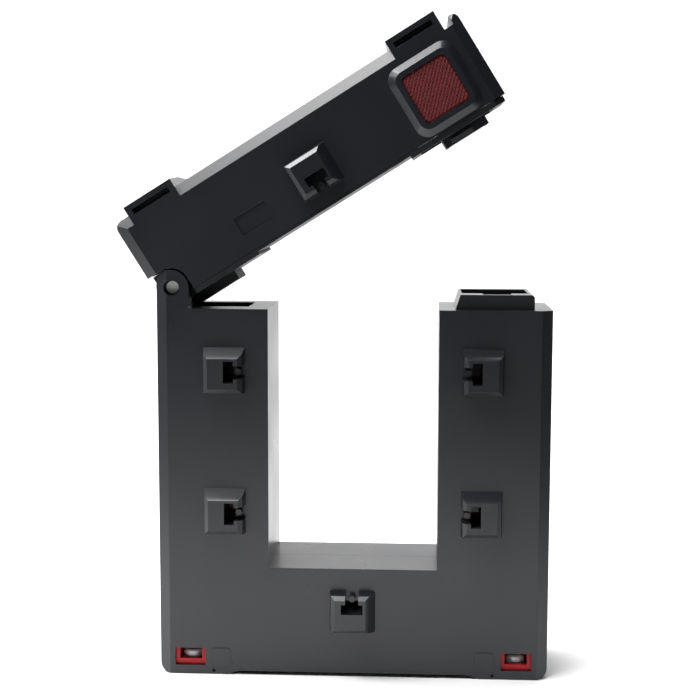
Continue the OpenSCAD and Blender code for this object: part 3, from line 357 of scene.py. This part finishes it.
def clean_copy(node):
    """The solid of a CAD node as a closed mesh with its flat faces joined."""
    mesh = frame["nodes"][node].data.copy()
    work = bmesh.new()
    work.from_mesh(mesh)
    bmesh.ops.remove_doubles(work, verts=work.verts, dist=0.002 * MM)
    bmesh.ops.dissolve_degenerate(work, edges=work.edges, dist=0.001 * MM)
    bmesh.ops.dissolve_limit(work, angle_limit=math.radians(0.6), verts=work.verts, edges=work.edges)
    work.to_mesh(mesh)
    work.free()
    return mesh


def eased(node, radius, segments=2, corner=28.0):
    """A copy of a CAD node with a fine bevel on its edges; radius is the most that it can be.

    Overlap clamping holds the bevel to what the shortest edges leave room for, which is less.
    """
    piece = link(node + "_moulded", clean_copy(node))
    ease = piece.modifiers.new("ease", "BEVEL")
    ease.width = radius
    ease.segments = segments
    ease.limit_method = "ANGLE"
    ease.angle_limit = math.radians(corner)
    ease.use_clamp_overlap = True
    ease.miter_outer = "MITER_ARC"
    ease.harden_normals = False
    baked(piece)
    shade(piece.data)
    even = piece.modifiers.new("even", "WEIGHTED_NORMAL")
    even.keep_sharp = True
    even.weight = 80
    baked(piece)
    give(piece, node)
    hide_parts(node)
    return piece


# ---------------------------------------------------------------- knurl of the button

KNURL_PITCH = 0.95 * MM
KNURL_RISE = 0.30 * MM
KNURL_MARGIN = 0.35 * MM
KNURL_CORNER = 1.2 * MM


def face_of(node):
    """Box of the foremost face of a lid node, with the lid shut."""
    shut = LID_OPEN.inverted()
    points = [shut @ vertex.co for vertex in frame["nodes"][node].data.vertices]
    front = min(p.y for p in points)
    face = [p for p in points if p.y < front + 0.05 * MM]
    low = Vector((min(p.x for p in face), front, min(p.z for p in face)))
    high = Vector((max(p.x for p in face), front, max(p.z for p in face)))
    return low, high


def build_knurl():
    """Square pyramids in diagonal rows, kept inside a rectangle with round corners."""
    group = bpy.data.node_groups.new("Diamond knurl", "GeometryNodeTree")
    labels = ("Width", "Height", "Corner", "Pitch", "Rise")
    for label in labels:
        group.interface.new_socket(label, in_out="INPUT", socket_type="NodeSocketFloat")
    group.interface.new_socket("Material", in_out="INPUT", socket_type="NodeSocketMaterial")
    group.interface.new_socket("Geometry", in_out="OUTPUT", socket_type="NodeSocketGeometry")
    start, end = group.nodes.new("NodeGroupInput"), group.nodes.new("NodeGroupOutput")
    link_up = group.links.new
    size = {label: start.outputs[label] for label in labels}

    reach = math_node(group, "ADD", size["Width"], size["Height"])
    count = math_node(group, "ADD", math_node(group, "FLOOR", math_node(
        group, "DIVIDE", reach, size["Pitch"]), 0.0), 1.0)
    side = math_node(group, "MULTIPLY", math_node(group, "SUBTRACT", count, 1.0), size["Pitch"])
    grid = group.nodes.new("GeometryNodeMeshGrid")
    for label, socket in (("Size X", side), ("Size Y", side),
                          ("Vertices X", count), ("Vertices Y", count)):
        link_up(socket, grid.inputs[label])
    turn = group.nodes.new("GeometryNodeTransform")
    turn.inputs["Rotation"].default_value = (0, 0, math.pi / 4)
    link_up(grid.outputs["Mesh"], turn.inputs["Geometry"])

    place = group.nodes.new("ShaderNodeSeparateXYZ")
    link_up(group.nodes.new("GeometryNodeInputPosition").outputs[0], place.inputs[0])
    past = []
    for axis, extent in (("X", size["Width"]), ("Y", size["Height"])):
        half = math_node(group, "MULTIPLY", extent, 0.5)
        straight = math_node(group, "SUBTRACT", half, size["Corner"])
        away = math_node(group, "ABSOLUTE", place.outputs[axis], 0.0)
        past.append(math_node(group, "MAXIMUM", math_node(group, "SUBTRACT", away, straight), 0.0))
    squares = [math_node(group, "MULTIPLY", value, value) for value in past]
    distance = math_node(group, "SQRT", math_node(group, "ADD", *squares), 0.0)
    outside = math_node(group, "GREATER_THAN", distance, size["Corner"])
    trim = group.nodes.new("GeometryNodeDeleteGeometry")
    trim.domain = "POINT"
    link_up(turn.outputs["Geometry"], trim.inputs["Geometry"])
    link_up(outside, trim.inputs["Selection"])

    point = group.nodes.new("GeometryNodeMeshCone")
    point.fill_type = "NONE"
    point.inputs["Vertices"].default_value = 4
    point.inputs["Radius Top"].default_value = 0.0
    link_up(math_node(group, "MULTIPLY", size["Pitch"], math.sqrt(0.5)), point.inputs["Radius Bottom"])
    link_up(size["Rise"], point.inputs["Depth"])
    repeat = group.nodes.new("GeometryNodeInstanceOnPoints")
    link_up(trim.outputs["Geometry"], repeat.inputs["Points"])
    link_up(point.outputs["Mesh"], repeat.inputs["Instance"])
    real = group.nodes.new("GeometryNodeRealizeInstances")
    link_up(repeat.outputs["Instances"], real.inputs["Geometry"])
    paint = group.nodes.new("GeometryNodeSetMaterial")
    link_up(real.outputs["Geometry"], paint.inputs["Geometry"])
    link_up(start.outputs["Material"], paint.inputs["Material"])
    link_up(paint.outputs["Geometry"], end.inputs["Geometry"])
    return group


def knurl(node):
    """Knurled skin on the face of the button."""
    low, high = face_of(node)
    group = build_knurl()
    piece = link(node + "_knurl", bpy.data.meshes.new("knurl"))
    rows = piece.modifiers.new("rows", "NODES")
    rows.node_group = group
    wanted = {
        "Width": high.x - low.x - 2 * KNURL_MARGIN, "Height": high.z - low.z - 2 * KNURL_MARGIN,
        "Corner": KNURL_CORNER, "Pitch": KNURL_PITCH, "Rise": KNURL_RISE,
        "Material": MATERIALS[SLOT_OF[node]],
    }
    for item in group.interface.items_tree:
        if item.in_out == "INPUT":
            rows[item.identifier] = wanted[item.name]
    baked(piece)
    # The rows are drawn flat round the origin and stand up from it; they go on the face.
    onto = Matrix.Translation((low + high) / 2) @ Matrix.Rotation(math.pi / 2, 4, "X")
    piece.data.transform(LID_OPEN @ onto)
    give(piece, node)
    return piece


# ---------------------------------------------------------------- moulded edges

# Bevel asked for, in mm. Overlap clamping leaves about 0.02 to 0.12 mm of it.
EASED = {
    "lower_front_shell": 0.30, "lower_rear_shell": 0.30, "lid_front_shell": 0.30,
    "lid_rear_shell": 0.30, "lid_base_plate": 0.20, "latch_button": 0.25,
    "terminal_block_left": 0.20, "terminal_block_right": 0.20,
}
for node, radius in EASED.items():
    eased(node, radius * MM)

knurl("latch_button")

for node, cad in frame["nodes"].items():
    if node not in EASED:
        cad.data.materials.clear()
        cad.data.materials.append(MATERIALS[SLOT_OF[node]])


# ---------------------------------------------------------------- floor, light, camera

# The floor's colour paints a pool of light round the part and painted shade farther off: the pale colour
# is the painted pool of light, the grey the painted shade.
PALE = (0.88, 0.88, 0.88)
FAR_PAINTED_SHADE = (0.13, 0.13, 0.13)
PAINTED_SHADE_FROM, PAINTED_SHADE_TO = 0.24, 0.56     # metres from the part over which the floor's painted shade goes from none to full
FRONT_PULL, SIDE_PULL = 1.3, 1.6    # how much sooner the painted shade comes in front and at the sides
PAINTED_POOL_CENTRE_X = -0.03
PAINTED_POOL_FAN = 0.40                     # widening of the painted pool of light towards the rear


def stage_floor():
    """A floor that curves up into a backdrop, with a painted pool of light round the part and behind it,
    and painted shade farther off to the front and the sides, which the glossy black faces mirror."""
    radius, back, half, steps = 0.6, 1.1, 3.0, 24
    profile = [(-2.5, 0.0), (back, 0.0)]
    profile += [(back + radius * math.sin(a), radius - radius * math.cos(a))
                for a in (math.pi / 2 * i / steps for i in range(1, steps + 1))]
    profile.append((back + radius, 3.5))
    mesh = bpy.data.meshes.new("floor")
    points = [(x, y, z) for y, z in profile for x in (-half, half)]
    faces = [(2 * i, 2 * i + 1, 2 * i + 3, 2 * i + 2) for i in range(len(profile) - 1)]
    mesh.from_pydata(points, [], faces)
    for face in mesh.polygons:
        face.use_smooth = True
    floor = link("floor", mesh)
    material, tree, shader, place = new_material("floor with painted light pool", PALE, 0.7, specular=0.2)
    axes = add(tree, "ShaderNodeSeparateXYZ")
    tree.links.new(place, axes.inputs["Vector"])
    behind = math_node(tree, "MAXIMUM", axes.outputs["Y"], 0.0)
    before = math_node(tree, "MAXIMUM", math_node(tree, "MULTIPLY", axes.outputs["Y"], -FRONT_PULL), 0.0)
    aside = math_node(tree, "ABSOLUTE", math_node(tree, "ADD", axes.outputs["X"], -PAINTED_POOL_CENTRE_X), 0.0)
    aside = math_node(tree, "SUBTRACT", aside, math_node(tree, "MULTIPLY", behind, PAINTED_POOL_FAN))
    aside = math_node(tree, "MULTIPLY", math_node(tree, "MAXIMUM", aside, 0.0), SIDE_PULL)
    squares = [math_node(tree, "MULTIPLY", side, side) for side in (aside, before)]
    away = math_node(tree, "SQRT", math_node(tree, "ADD", *squares), 0.0)
    # Painted shade: the floor's colour darkens with distance from the part, standing in for light that
    # falls off.
    painted_shade = map_range(tree, away, 0.0, 1.0, PAINTED_SHADE_FROM, PAINTED_SHADE_TO)
    tree.links.new(mix_colors(tree, painted_shade, PALE, FAR_PAINTED_SHADE), shader.inputs["Base Color"])
    mesh.materials.append(material)


def soft_light(name, at, size, power, target=(0.0, 0.0, 0.09)):
    """A rectangular soft light that faces a point."""
    lamp = bpy.data.lights.new(name, "AREA")
    lamp.shape = "RECTANGLE"
    lamp.size, lamp.size_y = size
    lamp.energy = power
    holder = bpy.data.objects.new(name, lamp)
    bpy.context.scene.collection.objects.link(holder)
    holder.location = at
    aim = Vector(target) - Vector(at)
    holder.rotation_euler = aim.to_track_quat("-Z", "Y").to_euler()


def studio():
    """Soft lights above, behind and to the left, and a dim room."""
    world = bpy.data.worlds.new("studio")
    bpy.context.scene.world = world
    world.use_nodes = True
    background = world.node_tree.nodes["Background"]
    background.inputs["Color"].default_value = (0.92, 0.95, 1.0, 1)
    background.inputs["Strength"].default_value = 0.05
    soft_light("top light", (-0.35, 0.55, 1.4), (1.8, 1.2), 34)
    soft_light("left light", (-1.3, 0.15, 0.30), (0.9, 0.7), 3.2)
    soft_light("table light", (-0.20, -0.24, 0.62), (0.34, 0.26), 3.8, target=(-0.20, -0.24, 0.0))
    soft_light("lid light", (-0.40, -0.04, 0.50), (0.22, 0.30), 3.3)
    soft_light("backdrop light", (0.0, 0.75, 1.6), (3.0, 0.9), 25, target=(0.0, 1.7, 0.45))
    bpy.context.scene.view_settings.view_transform = "Standard"


CAMERA_AT = Vector((20.47, -430.28, 145.44)) * MM
CAMERA_YAW, CAMERA_PITCH, CAMERA_ROLL = 0.0516, 0.1128, 0.0026    # radians
CAMERA_LENS = 73.6


def camera():
    """The view from the front, slightly from the right and above."""
    yaw, pitch, roll = CAMERA_YAW, CAMERA_PITCH, CAMERA_ROLL
    flat = Vector((-math.sin(yaw), math.cos(yaw), 0))
    right = Vector((math.cos(yaw), math.sin(yaw), 0))
    ahead = flat * math.cos(pitch) - Vector((0, 0, math.sin(pitch)))
    up = flat * math.sin(pitch) + Vector((0, 0, math.cos(pitch)))
    level_right, level_up = right, up
    right = level_right * math.cos(roll) + level_up * math.sin(roll)
    up = level_up * math.cos(roll) - level_right * math.sin(roll)
    turn = Matrix((right, up, -ahead)).transposed().to_4x4()
    data = bpy.data.cameras.new("camera")
    data.lens = CAMERA_LENS
    data.sensor_width = 36
    data.clip_start = 0.01
    holder = bpy.data.objects.new("camera", data)
    bpy.context.scene.collection.objects.link(holder)
    holder.matrix_world = Matrix.Translation(CAMERA_AT) @ turn
    bpy.context.scene.camera = holder


stage_floor()
studio()
camera()
